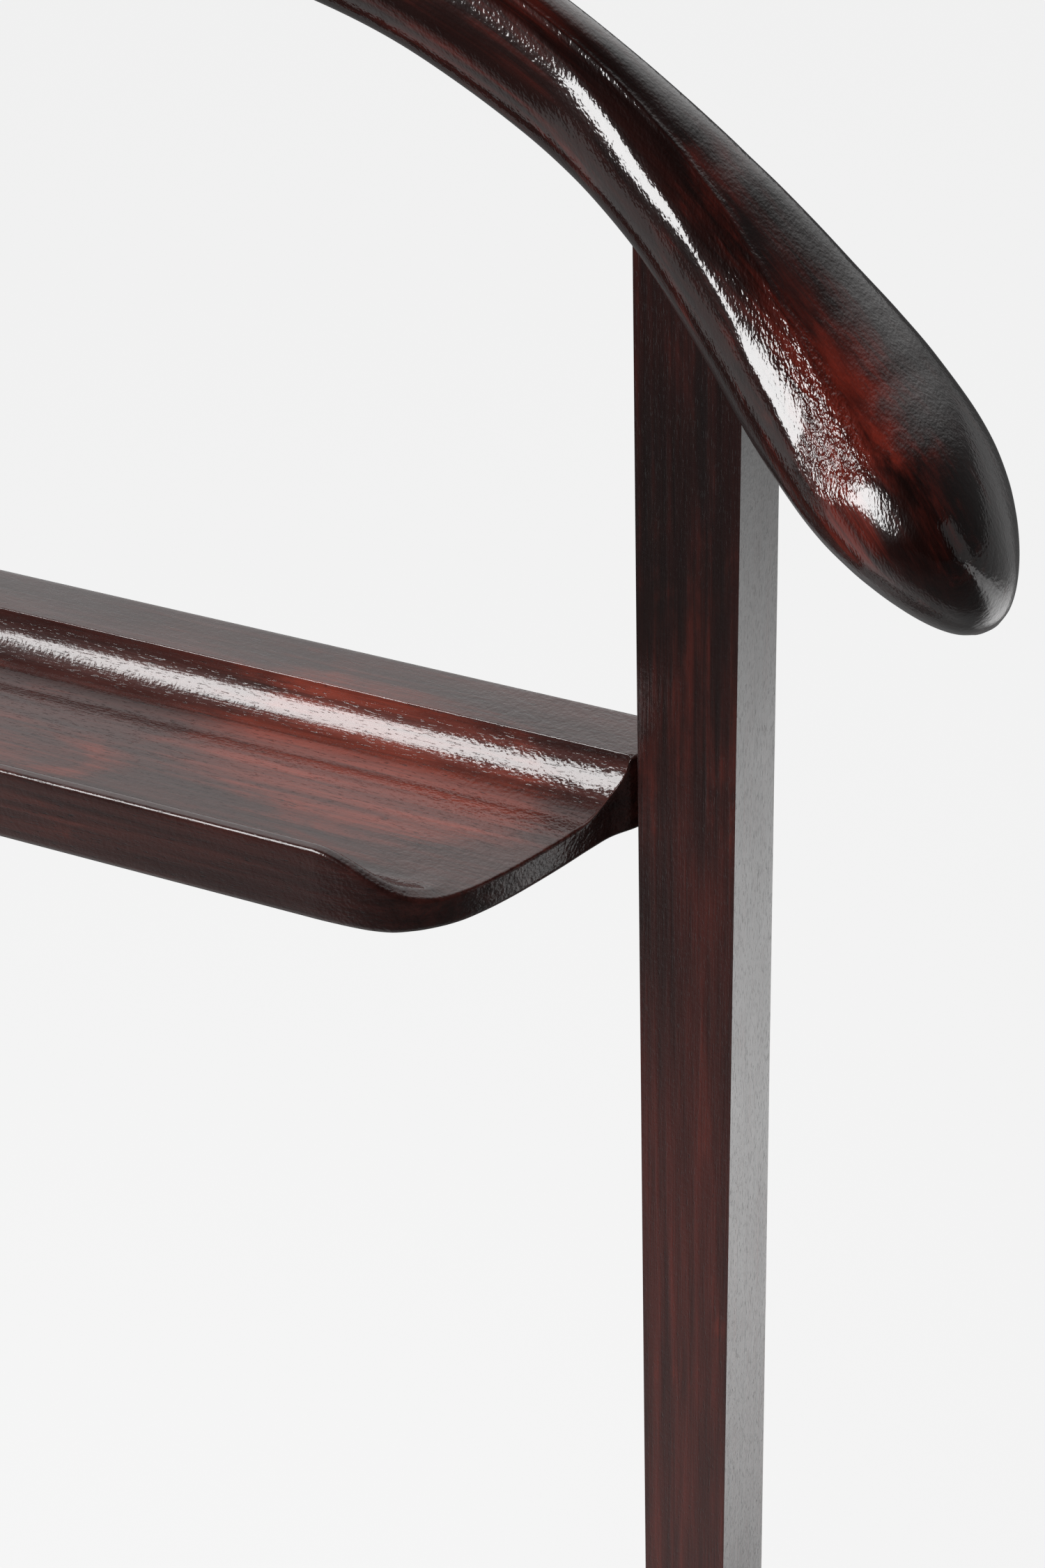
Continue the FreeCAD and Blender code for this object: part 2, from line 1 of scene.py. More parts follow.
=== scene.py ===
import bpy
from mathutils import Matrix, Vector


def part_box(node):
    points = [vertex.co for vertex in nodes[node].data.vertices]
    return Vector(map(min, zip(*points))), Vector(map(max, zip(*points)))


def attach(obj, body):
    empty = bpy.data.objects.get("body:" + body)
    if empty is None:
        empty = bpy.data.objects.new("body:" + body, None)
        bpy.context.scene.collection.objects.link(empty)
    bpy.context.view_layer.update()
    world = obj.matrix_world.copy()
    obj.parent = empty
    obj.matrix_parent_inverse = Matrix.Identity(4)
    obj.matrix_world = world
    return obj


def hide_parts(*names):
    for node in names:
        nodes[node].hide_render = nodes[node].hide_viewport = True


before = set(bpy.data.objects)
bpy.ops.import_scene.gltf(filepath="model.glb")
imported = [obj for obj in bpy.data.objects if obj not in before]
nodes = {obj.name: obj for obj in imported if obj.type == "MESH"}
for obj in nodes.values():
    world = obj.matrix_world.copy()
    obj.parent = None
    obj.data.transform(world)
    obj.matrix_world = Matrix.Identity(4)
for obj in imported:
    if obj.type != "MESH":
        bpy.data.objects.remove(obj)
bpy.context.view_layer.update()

import math

import bpy
import numpy as np
from mathutils import Matrix, Vector

scene = bpy.context.scene
MM = 0.001

# --------------------------------------------------------------------------------------------- view, light and floor
scene.view_settings.view_transform = "Standard"
scene.view_settings.look = "None"
scene.view_settings.exposure = 0.0
scene.view_settings.gamma = 1.0


def camera_axes(az, el, roll):
    a, e, r = (math.radians(v) for v in (az, el, roll))
    back = Vector((math.sin(a) * math.cos(e), -math.cos(a) * math.cos(e), math.sin(e)))
    right = Vector((math.cos(a), math.sin(a), 0.0))
    up = back.cross(right)
    r2 = right * math.cos(r) + up * math.sin(r)
    u2 = up * math.cos(r) - right * math.sin(r)
    return r2, u2, back


cam_data = bpy.data.cameras.new("camera")
cam = bpy.data.objects.new("camera", cam_data)
scene.collection.objects.link(cam)
cam_data.sensor_fit = "AUTO"
cam_data.sensor_width = 36.0
cam_data.lens = 80.0
cam_data.clip_start, cam_data.clip_end = 0.02, 100.0
cr, cu, cb = camera_axes(26.69, 32.98, -1.8)
m = Matrix((cr, cu, cb)).transposed().to_4x4()
m.translation = Vector((0.42585, -0.61228, 1.35493))
cam.matrix_world = m
scene.camera = cam


def area_light(name, place, target, size, size_y, radiance, colour=(1, 1, 1)):
    data = bpy.data.lights.new(name, "AREA")
    data.shape = "RECTANGLE"
    data.size, data.size_y = size, size_y
    data.energy = radiance * math.pi * size * size_y
    data.color = colour
    ob = bpy.data.objects.new(name, data)
    scene.collection.objects.link(ob)
    ob.location = place
    ob.rotation_mode = "QUATERNION"
    ob.rotation_quaternion = (Vector(target) - Vector(place)).to_track_quat("-Z", "Y")
    return ob


area_light("softbox_front", (-0.44, -1.08, 1.89), (0.12, 0.0, 1.0), 0.80, 0.80, 19.0)
area_light("softbox_right", (2.175, 0.25, 1.56), (0.13, 0.0, 0.82), 1.0, 1.3, 0.35)


def tree_of(owner):
    owner.use_nodes = True
    t = owner.node_tree
    t.nodes.clear()
    return t


def node(t, kind, inputs=None, **props):
    n = t.nodes.new(kind)
    for k, v in props.items():
        setattr(n, k, v)
    for k, v in (inputs or {}).items():
        sock = n.inputs[k]
        if isinstance(v, bpy.types.NodeSocket):
            t.links.new(v, sock)
        else:
            sock.default_value = v
    return n


def maths(t, op, a, b=None, c=None, clamp=False):
    n = t.nodes.new("ShaderNodeMath")
    n.operation = op
    n.use_clamp = clamp
    for i, v in enumerate((a, b, c)):
        if v is None:
            continue
        if isinstance(v, bpy.types.NodeSocket):
            t.links.new(v, n.inputs[i])
        else:
            n.inputs[i].default_value = v
    return n.outputs[0]


def ramp(t, value, lo, hi, out_lo=0.0, out_hi=1.0, smooth=True):
    n = t.nodes.new("ShaderNodeMapRange")
    n.interpolation_type = "SMOOTHSTEP" if smooth else "LINEAR"
    n.clamp = True if not smooth else n.clamp
    t.links.new(value, n.inputs["Value"])
    n.inputs["From Min"].default_value = lo
    n.inputs["From Max"].default_value = hi
    n.inputs["To Min"].default_value = out_lo
    n.inputs["To Max"].default_value = out_hi
    return n.outputs["Result"]


# the studio: a white paper sweep behind and under the object, a dim room in front; the floor also glows with painted
# light that only reflections and bounce light see
PAPER = 0.93
world = bpy.data.worlds.new("studio")
scene.world = world
t = tree_of(world)
tc = node(t, "ShaderNodeTexCoord")
sep = node(t, "ShaderNodeSeparateXYZ", {"Vector": tc.outputs["Generated"]})
behind = ramp(t, sep.outputs["Y"], -0.05, 0.45, 0.02, 0.075)
lobe = node(t, "ShaderNodeVectorMath", {0: tc.outputs["Generated"], 1: (-0.42, 0.73, 0.54)}, operation="DOT_PRODUCT").outputs["Value"]
behind = maths(t, "ADD", behind, ramp(t, lobe, 0.60, 0.95, 0.0, 1.36))
path = node(t, "ShaderNodeLightPath")
seen = maths(t, "MULTIPLY", path.outputs["Is Camera Ray"], PAPER)
unseen = maths(t, "MULTIPLY", maths(t, "SUBTRACT", 1.0, path.outputs["Is Camera Ray"]), behind)
bg = node(t, "ShaderNodeBackground", {"Color": (1, 1, 1, 1), "Strength": maths(t, "ADD", seen, unseen)})
out = node(t, "ShaderNodeOutputWorld", {"Surface": bg.outputs[0]})

floor_mesh = bpy.data.meshes.new("floor")
S = 30.0
floor_mesh.from_pydata([(-S, -S, -0.0004), (S, -S, -0.0004), (S, S, -0.0004), (-S, S, -0.0004)], [], [(0, 1, 2, 3)])
floor = bpy.data.objects.new("floor", floor_mesh)
scene.collection.objects.link(floor)
fm = bpy.data.materials.new("paper")
t = tree_of(fm)
geo = node(t, "ShaderNodeNewGeometry")
sep = node(t, "ShaderNodeSeparateXYZ", {"Vector": geo.outputs["Position"]})
# painted light: for all but camera rays the floor glows in a painted pattern that varies across it and fades far
# behind; the camera sees an even glow
edge = maths(t, "MULTIPLY", maths(t, "SUBTRACT", maths(t, "ADD", sep.outputs["X"], 0.47), maths(t, "ADD", sep.outputs["Y"], 1.23)), 0.7071)
floor_glow = maths(t, "ADD", ramp(t, edge, 0.05, -0.10, 0.03, 0.42), ramp(t, edge, -0.10, -0.62, 0.0, 0.70))
right = maths(t, "MULTIPLY", ramp(t, sep.outputs["X"], 0.20, 0.60, 0.0, 1.0), ramp(t, sep.outputs["Y"], 0.2, 0.7))
far = ramp(t, sep.outputs["Y"], 0.80, 2.2, 1.0, 0.12)
floor_glow = maths(t, "MULTIPLY", maths(t, "MAXIMUM", maths(t, "MULTIPLY", maths(t, "MULTIPLY", floor_glow, 0.56), ramp(t, sep.outputs["Y"], -0.25, 0.35, 1.0, 0.12)), maths(t, "MULTIPLY", right, 1.7)), far)
path = node(t, "ShaderNodeLightPath")
seen = maths(t, "MULTIPLY", path.outputs["Is Camera Ray"], 0.825)
unseen = maths(t, "MULTIPLY", maths(t, "SUBTRACT", 1.0, path.outputs["Is Camera Ray"]), floor_glow)
em = node(t, "ShaderNodeEmission", {"Color": (1, 1, 1, 1), "Strength": maths(t, "ADD", seen, unseen)})
df = node(t, "ShaderNodeBsdfDiffuse", {"Color": (0.12, 0.12, 0.12, 1)})
add = node(t, "ShaderNodeAddShader", {0: em.outputs[0], 1: df.outputs[0]})
node(t, "ShaderNodeOutputMaterial", {"Surface": add.outputs[0]})
floor_mesh.materials.append(fm)


# ------------------------------------------------------------------------------------------------------- materials
def mix_colour(t, fac, a, b, kind="MIX"):
    n = t.nodes.new("ShaderNodeMix")
    n.data_type = "RGBA"
    n.blend_type = kind
    n.clamp_factor = True
    for sock, v in ((n.inputs["Factor"], fac), (n.inputs["A"], a), (n.inputs["B"], b)):
        pass
    colour_in = [s for s in n.inputs if s.type == "RGBA"]
    fac_in = [s for s in n.inputs if s.type == "VALUE"][0]
    for sock, v in ((fac_in, fac), (colour_in[0], a), (colour_in[1], b)):
        if isinstance(v, bpy.types.NodeSocket):
            t.links.new(v, sock)
        else:
            sock.default_value = v
    return [s for s in n.outputs if s.type == "RGBA"][0]


def noise(t, vec, scale, detail=4.0, rough=0.55, distort=0.0):
    n = node(t, "ShaderNodeTexNoise", {"Vector": vec, "Scale": scale, "Detail": detail, "Roughness": rough, "Distortion": distort})
    return n.outputs["Fac"]


def place(t, vec, scale, shift=(0, 0, 0)):
    return node(t, "ShaderNodeMapping", {"Vector": vec, "Scale": scale, "Location": shift}).outputs[0]


def lacquered_wood(name, axis="z", seed=0.0, dark=(0.010, 0.0032, 0.0026, 1), mid=(0.034, 0.0075, 0.0052, 1), red=(0.105, 0.014, 0.008, 1),
                   red_amount=0.5, peel=0.35, grain_bump=0.25, coat_rough=0.09, base_rough=0.42, attribute=None, tint=False, pores=0.5, vein=1.0,
                   coat_weight=1.0, grains=1150.0, rough_end=None, shade=1.0, painted_shade_ramp=None, base_spec=0.25, rub=False):
    """Stained hardwood under glossy lacquer. axis is the way the grain runs."""
    mat = bpy.data.materials.new(name)
    t = tree_of(mat)
    if attribute:
        src = node(t, "ShaderNodeAttribute", attribute_name=attribute, attribute_type="GEOMETRY").outputs["Vector"]
    else:
        src = node(t, "ShaderNodeTexCoord").outputs["Object"]

    def stretched(across, run):
        return tuple(1.22 * (run if "xyz"[i] == axis else across) for i in range(3))

    shift = (seed * 1.37, seed * 2.11, seed * 0.73)
    broad = noise(t, place(t, src, stretched(16, 4.5), shift), 1.0, 4.0, 0.6, 0.4)
    cloud = noise(t, place(t, src, stretched(48, 17), shift), 1.0, 5.0, 0.62, 0.8)
    streak = noise(t, place(t, src, stretched(330, 9), shift), 1.0, 5.0, 0.6, 0.25)
    fine = noise(t, place(t, src, stretched(1500, 40), shift), 1.0, 3.0, 0.6, 0.1)
    figure = noise(t, place(t, src, stretched(120, 5), shift), 1.0, 3.0, 0.5, 1.2)
    pore_n = noise(t, place(t, src, stretched(2600, 330), shift), 1.0, 2.0, 0.5)
    pore = ramp(t, pore_n, 0.60, 0.72, 0.0, 1.0)
    if tint:
        spot = node(t, "ShaderNodeAttribute", attribute_name="redness", attribute_type="GEOMETRY").outputs["Fac"]
    a = ramp(t, broad, 0.30, 0.70)
    base = mix_colour(t, a, dark, mid)
    s = maths(t, "ADD", maths(t, "MULTIPLY", cloud, 0.62), maths(t, "MULTIPLY", streak, 0.38 * vein))
    if tint:
        s = maths(t, "ADD", s, maths(t, "MULTIPLY", spot, 0.22))
    r = ramp(t, s, 0.62 - 0.26 * red_amount, 0.86 - 0.20 * red_amount)
    base = mix_colour(t, maths(t, "MULTIPLY", r, 0.9), base, red)
    lines = ramp(t, streak, 0.34, 0.62, 0.55, 1.25, smooth=False)
    lines2 = ramp(t, fine, 0.30, 0.70, 0.80, 1.18, smooth=False)
    lines3 = ramp(t, figure, 0.35, 0.65, 0.80, 1.15, smooth=False)
    k = maths(t, "MULTIPLY", maths(t, "MULTIPLY", lines, lines2), lines3)
    k = maths(t, "MULTIPLY", k, maths(t, "SUBTRACT", 1.0, maths(t, "MULTIPLY", pore, 0.75 * pores)))
    kcol = node(t, "ShaderNodeCombineXYZ", {0: k, 1: k, 2: k}).outputs[0]
    base = mix_colour(t, 1.0, base, kcol, "MULTIPLY")
    if shade != 1.0:
        base = mix_colour(t, 1.0, base, (shade, shade, shade, 1), "MULTIPLY")
    # painted shade: the colour is darkened along z (on the post, towards its top), standing in for the light falling
    # off there
    if painted_shade_ramp:
        f = ramp(t, node(t, "ShaderNodeSeparateXYZ", {"Vector": src}).outputs[2], *painted_shade_ramp)
        base = mix_colour(t, 1.0, base, node(t, "ShaderNodeCombineXYZ", {0: f, 1: f, 2: f}).outputs[0], "MULTIPLY")
    # surface: filled grain telegraphing through the lacquer, and the lacquer's own soft orange peel
    peel_a = noise(t, place(t, src, (1, 1, 1), shift), grains, 1.0, 0.4)
    peel_b = noise(t, place(t, src, (1, 1, 1), shift), 420.0, 2.0, 0.5)
    peel_h = maths(t, "ADD", maths(t, "MULTIPLY", peel_a, 0.7), maths(t, "MULTIPLY", peel_b, 1.0))
    grain_h = maths(t, "SUBTRACT", maths(t, "ADD", maths(t, "MULTIPLY", streak, 0.8), maths(t, "MULTIPLY", fine, 0.35)), maths(t, "MULTIPLY", pore, 0.55 * pores))
    if rub:
        rubbed = node(t, "ShaderNodeAttribute", attribute_name="rub", attribute_type="GEOMETRY").outputs["Fac"]
        peel_h = maths(t, "MULTIPLY", maths(t, "SUBTRACT", peel_h, 0.85), maths(t, "ADD", 1.0, maths(t, "MULTIPLY", rubbed, 3.6)))
    if rough_end:
        far_x = node(t, "ShaderNodeSeparateXYZ", {"Vector": src}).outputs[0]
        peel_h = maths(t, "MULTIPLY", peel_h, ramp(t, maths(t, "ABSOLUTE", far_x), rough_end[0], rough_end[1], 1.0, rough_end[2]))
    b1 = node(t, "ShaderNodeBump", {"Strength": peel, "Distance": 0.00025, "Height": peel_h})
    b2 = node(t, "ShaderNodeBump", {"Strength": grain_bump, "Distance": 0.00030, "Height": grain_h, "Normal": b1.outputs[0]})
    rough = ramp(t, cloud, 0.3, 0.7, base_rough - 0.07, base_rough + 0.10, smooth=False)
    p = node(t, "ShaderNodeBsdfPrincipled", {"Base Color": base, "Roughness": rough, "IOR": 1.5, "Normal": b2.outputs[0],
                                              "Coat Weight": coat_weight, "Coat Roughness": coat_rough, "Coat IOR": 1.5, "Coat Normal": b2.outputs[0]})
    p.inputs["Specular IOR Level"].default_value = base_spec
    node(t, "ShaderNodeOutputMaterial", {"Surface": p.outputs[0]})
    return mat


def brass(name, seed=0.0):
    mat = bpy.data.materials.new(name)
    t = tree_of(mat)
    src = node(t, "ShaderNodeTexCoord").outputs["Object"]
    shift = (seed, seed * 2, seed * 3)
    tarnish = noise(t, place(t, src, (55, 55, 55), shift), 1.0, 6.0, 0.62, 0.6)
    speck = noise(t, place(t, src, (900, 900, 900), shift), 1.0, 3.0, 0.6)
    brush = noise(t, place(t, src, (2200, 2200, 130), shift), 1.0, 2.0, 0.5)
    f = ramp(t, tarnish, 0.40, 0.72)
    col = mix_colour(t, f, (0.66, 0.44, 0.17, 1), (0.30, 0.17, 0.065, 1))
    col = mix_colour(t, ramp(t, speck, 0.60, 0.76, 0, 0.6), col, (0.14, 0.085, 0.04, 1))
    rough = maths(t, "ADD", ramp(t, tarnish, 0.3, 0.75, 0.20, 0.42, smooth=False), maths(t, "MULTIPLY", brush, 0.10))
    b = node(t, "ShaderNodeBump", {"Strength": 0.18, "Distance": 0.0001, "Height": maths(t, "ADD", brush, maths(t, "MULTIPLY", speck, 0.6))})
    p = node(t, "ShaderNodeBsdfPrincipled", {"Base Color": col, "Metallic": 1.0, "Roughness": rough, "Normal": b.outputs[0]})
    node(t, "ShaderNodeOutputMaterial", {"Surface": p.outputs[0]})
    return mat


def steel(name):
    mat = bpy.data.materials.new(name)
    t = tree_of(mat)
    src = node(t, "ShaderNodeTexCoord").outputs["Object"]
    speck = noise(t, place(t, src, (500, 500, 500)), 1.0, 4.0, 0.6)
    col = mix_colour(t, ramp(t, speck, 0.4, 0.7), (0.50, 0.50, 0.49, 1), (0.30, 0.29, 0.27, 1))
    rough = ramp(t, speck, 0.3, 0.7, 0.28, 0.46, smooth=False)
    b = node(t, "ShaderNodeBump", {"Strength": 0.2, "Distance": 0.0001, "Height": speck})
    p = node(t, "ShaderNodeBsdfPrincipled", {"Base Color": col, "Metallic": 1.0, "Roughness": rough, "Normal": b.outputs[0]})
    node(t, "ShaderNodeOutputMaterial", {"Surface": p.outputs[0]})
    return mat


def felt(name):
    mat = bpy.data.materials.new(name)
    t = tree_of(mat)
    src = node(t, "ShaderNodeTexCoord").outputs["Object"]
    fibre = noise(t, place(t, src, (1500, 1500, 1500)), 1.0, 4.0, 0.7, 1.5)
    nap = noise(t, place(t, src, (260, 260, 260)), 1.0, 4.0, 0.6, 0.8)
    worn = noise(t, place(t, src, (14, 14, 9)), 1.0, 3.0, 0.5)
    col = mix_colour(t, ramp(t, fibre, 0.3, 0.7), (0.030, 0.020, 0.016, 1), (0.105, 0.076, 0.060, 1))
    col = mix_colour(t, ramp(t, worn, 0.45, 0.75, 0, 0.5), col, (0.135, 0.105, 0.085, 1))
    h = maths(t, "ADD", maths(t, "MULTIPLY", fibre, 0.6), nap)
    b = node(t, "ShaderNodeBump", {"Strength": 0.9, "Distance": 0.0005, "Height": h})
    rough = ramp(t, nap, 0.3, 0.7, 0.86, 1.0, smooth=False)
    p = node(t, "ShaderNodeBsdfPrincipled", {"Base Color": col, "Roughness": rough, "Normal": b.outputs[0]})
    p.inputs["Specular IOR Level"].default_value = 0.15
    p.inputs["Sheen Weight"].default_value = 0.6
    p.inputs["Sheen Roughness"].default_value = 0.5
    node(t, "ShaderNodeOutputMaterial", {"Surface": p.outputs[0]})
    return mat


def plain_wood(name):
    mat = bpy.data.materials.new(name)
    t = tree_of(mat)
    src = node(t, "ShaderNodeTexCoord").outputs["Object"]
    fib = noise(t, place(t, src, (20, 900, 900)), 1.0, 4.0, 0.6)
    col = mix_colour(t, ramp(t, fib, 0.3, 0.7), (0.42, 0.27, 0.15, 1), (0.60, 0.43, 0.27, 1))
    b = node(t, "ShaderNodeBump", {"Strength": 0.3, "Distance": 0.0002, "Height": fib})
    rough = ramp(t, fib, 0.3, 0.7, 0.5, 0.7, smooth=False)
    p = node(t, "ShaderNodeBsdfPrincipled", {"Base Color": col, "Roughness": rough, "Normal": b.outputs[0]})
    node(t, "ShaderNodeOutputMaterial", {"Surface": p.outputs[0]})
    return mat


def moulded(name):
    mat = bpy.data.materials.new(name)
    t = tree_of(mat)
    src = node(t, "ShaderNodeTexCoord").outputs["Object"]
    g = noise(t, place(t, src, (1100, 1100, 1100)), 1.0, 3.0, 0.6)
    col = mix_colour(t, ramp(t, g, 0.3, 0.7), (0.016, 0.013, 0.012, 1), (0.034, 0.028, 0.025, 1))
    b = node(t, "ShaderNodeBump", {"Strength": 0.35, "Distance": 0.0002, "Height": g})
    rough = ramp(t, g, 0.3, 0.7, 0.48, 0.64, smooth=False)
    p = node(t, "ShaderNodeBsdfPrincipled", {"Base Color": col, "Roughness": rough, "Normal": b.outputs[0]})
    node(t, "ShaderNodeOutputMaterial", {"Surface": p.outputs[0]})
    return mat


# the post's colour is darker towards its top: painted shade standing in for the light falling off up there
wood_post = lacquered_wood("wood_post", "z", 1.0, dark=(0.012, 0.0026, 0.0020, 1), mid=(0.045, 0.0068, 0.0046, 1), red_amount=0.48, peel=0.12, grain_bump=0.35, coat_rough=0.16, coat_weight=0.95, painted_shade_ramp=(0.68, 1.02, 1.35, 0.42), base_spec=0.15)
wood_hanger = lacquered_wood("wood_hanger", "x", 2.0, red_amount=0.55, peel=0.34, grain_bump=0.08, coat_rough=0.075, attribute="grain", tint=True, pores=0.2, vein=0.8, grains=1250.0, shade=0.30, base_spec=0.08, rub=True,
                             dark=(0.010, 0.0026, 0.0020, 1), mid=(0.036, 0.0065, 0.0045, 1), red=(0.25, 0.024, 0.012, 1))
wood_tray = lacquered_wood("wood_tray", "x", 3.0, dark=(0.022, 0.006, 0.005, 1), mid=(0.060, 0.014, 0.010, 1), red=(0.19, 0.032, 0.018, 1), red_amount=0.54,
                           peel=0.16, grain_bump=0.20, coat_rough=0.085, coat_weight=0.72, base_spec=0.12, shade=0.76, vein=0.5, tint=True, pores=0.9, rough_end=(0.085, 0.110, 4.0))
wood_x = lacquered_wood("wood_rail", "x", 4.0, red_amount=0.45, peel=0.2, grain_bump=0.3, coat_rough=0.14)
wood_y = lacquered_wood("wood_foot", "y", 5.0, red_amount=0.45, peel=0.25, grain_bump=0.3, coat_rough=0.13)
wood_board = lacquered_wood("wood_board", "z", 6.0, red_amount=0.50, peel=0.2, grain_bump=0.35, coat_rough=0.14)
wood_batten = lacquered_wood("wood_batten", "z", 7.0, red_amount=0.40, peel=0.2, grain_bump=0.3, coat_rough=0.13)
metal_brass = brass("aged_brass")
metal_steel = steel("zinc_steel")
cloth_felt = felt("wool_felt")
peg_wood = plain_wood("dowel_wood")
glide_mat = moulded("glide_moulding")

finish = {
    "upright_left": wood_post, "upright_right": wood_post, "hanger": wood_hanger, "hanger_pegs": wood_x, "tray": wood_tray,
    "tray_dowels": peg_wood, "press_rail_dowels": peg_wood, "foot_left": wood_y, "foot_right": wood_y, "foot_screws": metal_steel, "glides": glide_mat,
    "shoe_rail_front": wood_x, "shoe_rail_rear": wood_x, "shoe_rail_screws": metal_steel, "press_rail_lower": wood_x, "press_rail_upper": wood_x,
    "press_back_board": wood_board, "press_front_board": wood_board, "batten_left": wood_batten, "batten_right": wood_batten, "batten_screws": metal_steel,
    "back_board_screws": metal_steel, "back_pad": cloth_felt, "front_pad": cloth_felt, "bail_bar": wood_x,
}
for name, ob in nodes.items():
    mat = finish.get(name, metal_brass)
    ob.data.materials.clear()
    ob.data.materials.append(mat)


# ------------------------------------------------------------------------------------------------ hanger, carved
# x, y, z of the centre line (mm), slope and sweep of the centre line and roll of the section (degrees), half depth, half thickness
stations = np.array([
    (0.00, 16.47, 1110.23, 0.00, 0.00, -4.22, 12.02, 12.73),
    (22.00, 16.50, 1109.67, -3.10, 0.15, -4.15, 11.97, 12.79),
    (42.50, 16.58, 1107.90, -6.90, 0.35, -4.00, 11.89, 12.91),
    (69.15, 16.70, 1103.22, -13.40, 0.60, -3.60, 11.65, 13.31),
    (91.36, 16.96, 1096.20, -21.80, 0.57, -3.17, 11.48, 13.73),
    (109.69, 16.96, 1087.64, -27.75, -0.88, -2.90, 11.42, 13.96),
    (124.79, 16.31, 1079.22, -30.49, -3.57, -2.76, 11.51, 14.00),
    (137.28, 15.03, 1071.56, -32.44, -6.53, -2.70, 13.32, 13.76),
    (146.55, 13.51, 1065.57, -33.17, -9.12, -2.69, 15.64, 13.54),
    (154.94, 11.74, 1059.87, -35.83, -10.27, -2.91, 17.40, 13.73),
    (162.20, 10.12, 1054.23, -39.72, -9.45, -4.04, 18.68, 14.67),
    (170.23, 8.48, 1047.11, -42.86, -8.43, -6.02, 20.23, 15.87),
    (179.55, 6.47, 1038.38, -42.97, -9.73, -8.72, 22.54, 17.13),
    (188.61, 4.12, 1030.14, -41.56, -11.97, -11.43, 25.31, 18.45),
    (196.69, 1.70, 1023.03, -41.29, -13.23, -13.86, 27.86, 19.25),
    (205.12, -1.01, 1015.52, -42.35, -13.70, -16.48, 30.63, 19.45),
    (211.41, -3.11, 1009.63, -44.00, -13.61, -18.54, 33.00, 18.94),
    (217.46, -5.15, 1003.55, -46.45, -13.13, -20.68, 33.59, 17.47),
    (222.19, -6.75, 998.34, -49.20, -12.38, -22.50, 31.41, 15.50),
    (225.70, -7.92, 994.09, -51.95, -11.52, -23.98, 27.26, 13.32),
    (228.12, -8.72, 990.85, -54.39, -10.68, -25.10, 22.75, 11.12),
    (229.93, -9.29, 988.23, -56.59, -9.87, -26.00, 17.90, 8.75),
    (231.19, -9.69, 986.25, -58.41, -9.18, -26.68, 12.80, 6.26),
    (231.99, -9.93, 984.93, -59.70, -8.67, -27.13, 7.44, 3.63),
])


def hermite(xs, ys, x):
    """Piecewise cubic through (xs, ys) with limited slopes, so that it doesn't overshoot."""
    h = np.diff(xs)
    d = np.diff(ys) / h
    s = np.zeros(len(xs))
    s[0], s[-1] = d[0], d[-1]
    for i in range(1, len(xs) - 1):
        if d[i - 1] * d[i] > 0:
            w1, w2 = 2 * h[i] + h[i - 1], h[i] + 2 * h[i - 1]
            s[i] = (w1 + w2) / (w1 / d[i - 1] + w2 / d[i])
    k = np.clip(np.searchsorted(xs, x, side="right") - 1, 0, len(xs) - 2)
    u = (x - xs[k]) / h[k]
    return ((1 + 2 * u) * (1 - u) ** 2 * ys[k] + u * (1 - u) ** 2 * h[k] * s[k] + u * u * (3 - 2 * u) * ys[k + 1] + u * u * (u - 1) * h[k] * s[k + 1])


def catmull(xs, ys, x):
    s = np.gradient(ys, xs)
    h = np.diff(xs)
    k = np.clip(np.searchsorted(xs, x, side="right") - 1, 0, len(xs) - 2)
    u = (x - xs[k]) / h[k]
    return ((1 + 2 * u) * (1 - u) ** 2 * ys[k] + u * (1 - u) ** 2 * h[k] * s[k] + u * u * (3 - 2 * u) * ys[k + 1] + u * u * (u - 1) * h[k] * s[k + 1])


def new_mesh(name, verts, faces, smooth=True):
    me = bpy.data.meshes.new(name)
    me.from_pydata([tuple(map(float, v)) for v in verts], [], faces)
    me.update()
    if smooth:
        me.polygons.foreach_set("use_smooth", [True] * len(me.polygons))
    ob = bpy.data.objects.new(name, me)
    scene.collection.objects.link(ob)
    return ob


def point_attribute(ob, name, kind, values):
    a = ob.data.attributes.new(name, kind, "POINT")
    a.data.foreach_set("vector" if kind == "FLOAT_VECTOR" else "value", np.asarray(values, np.float32).ravel())


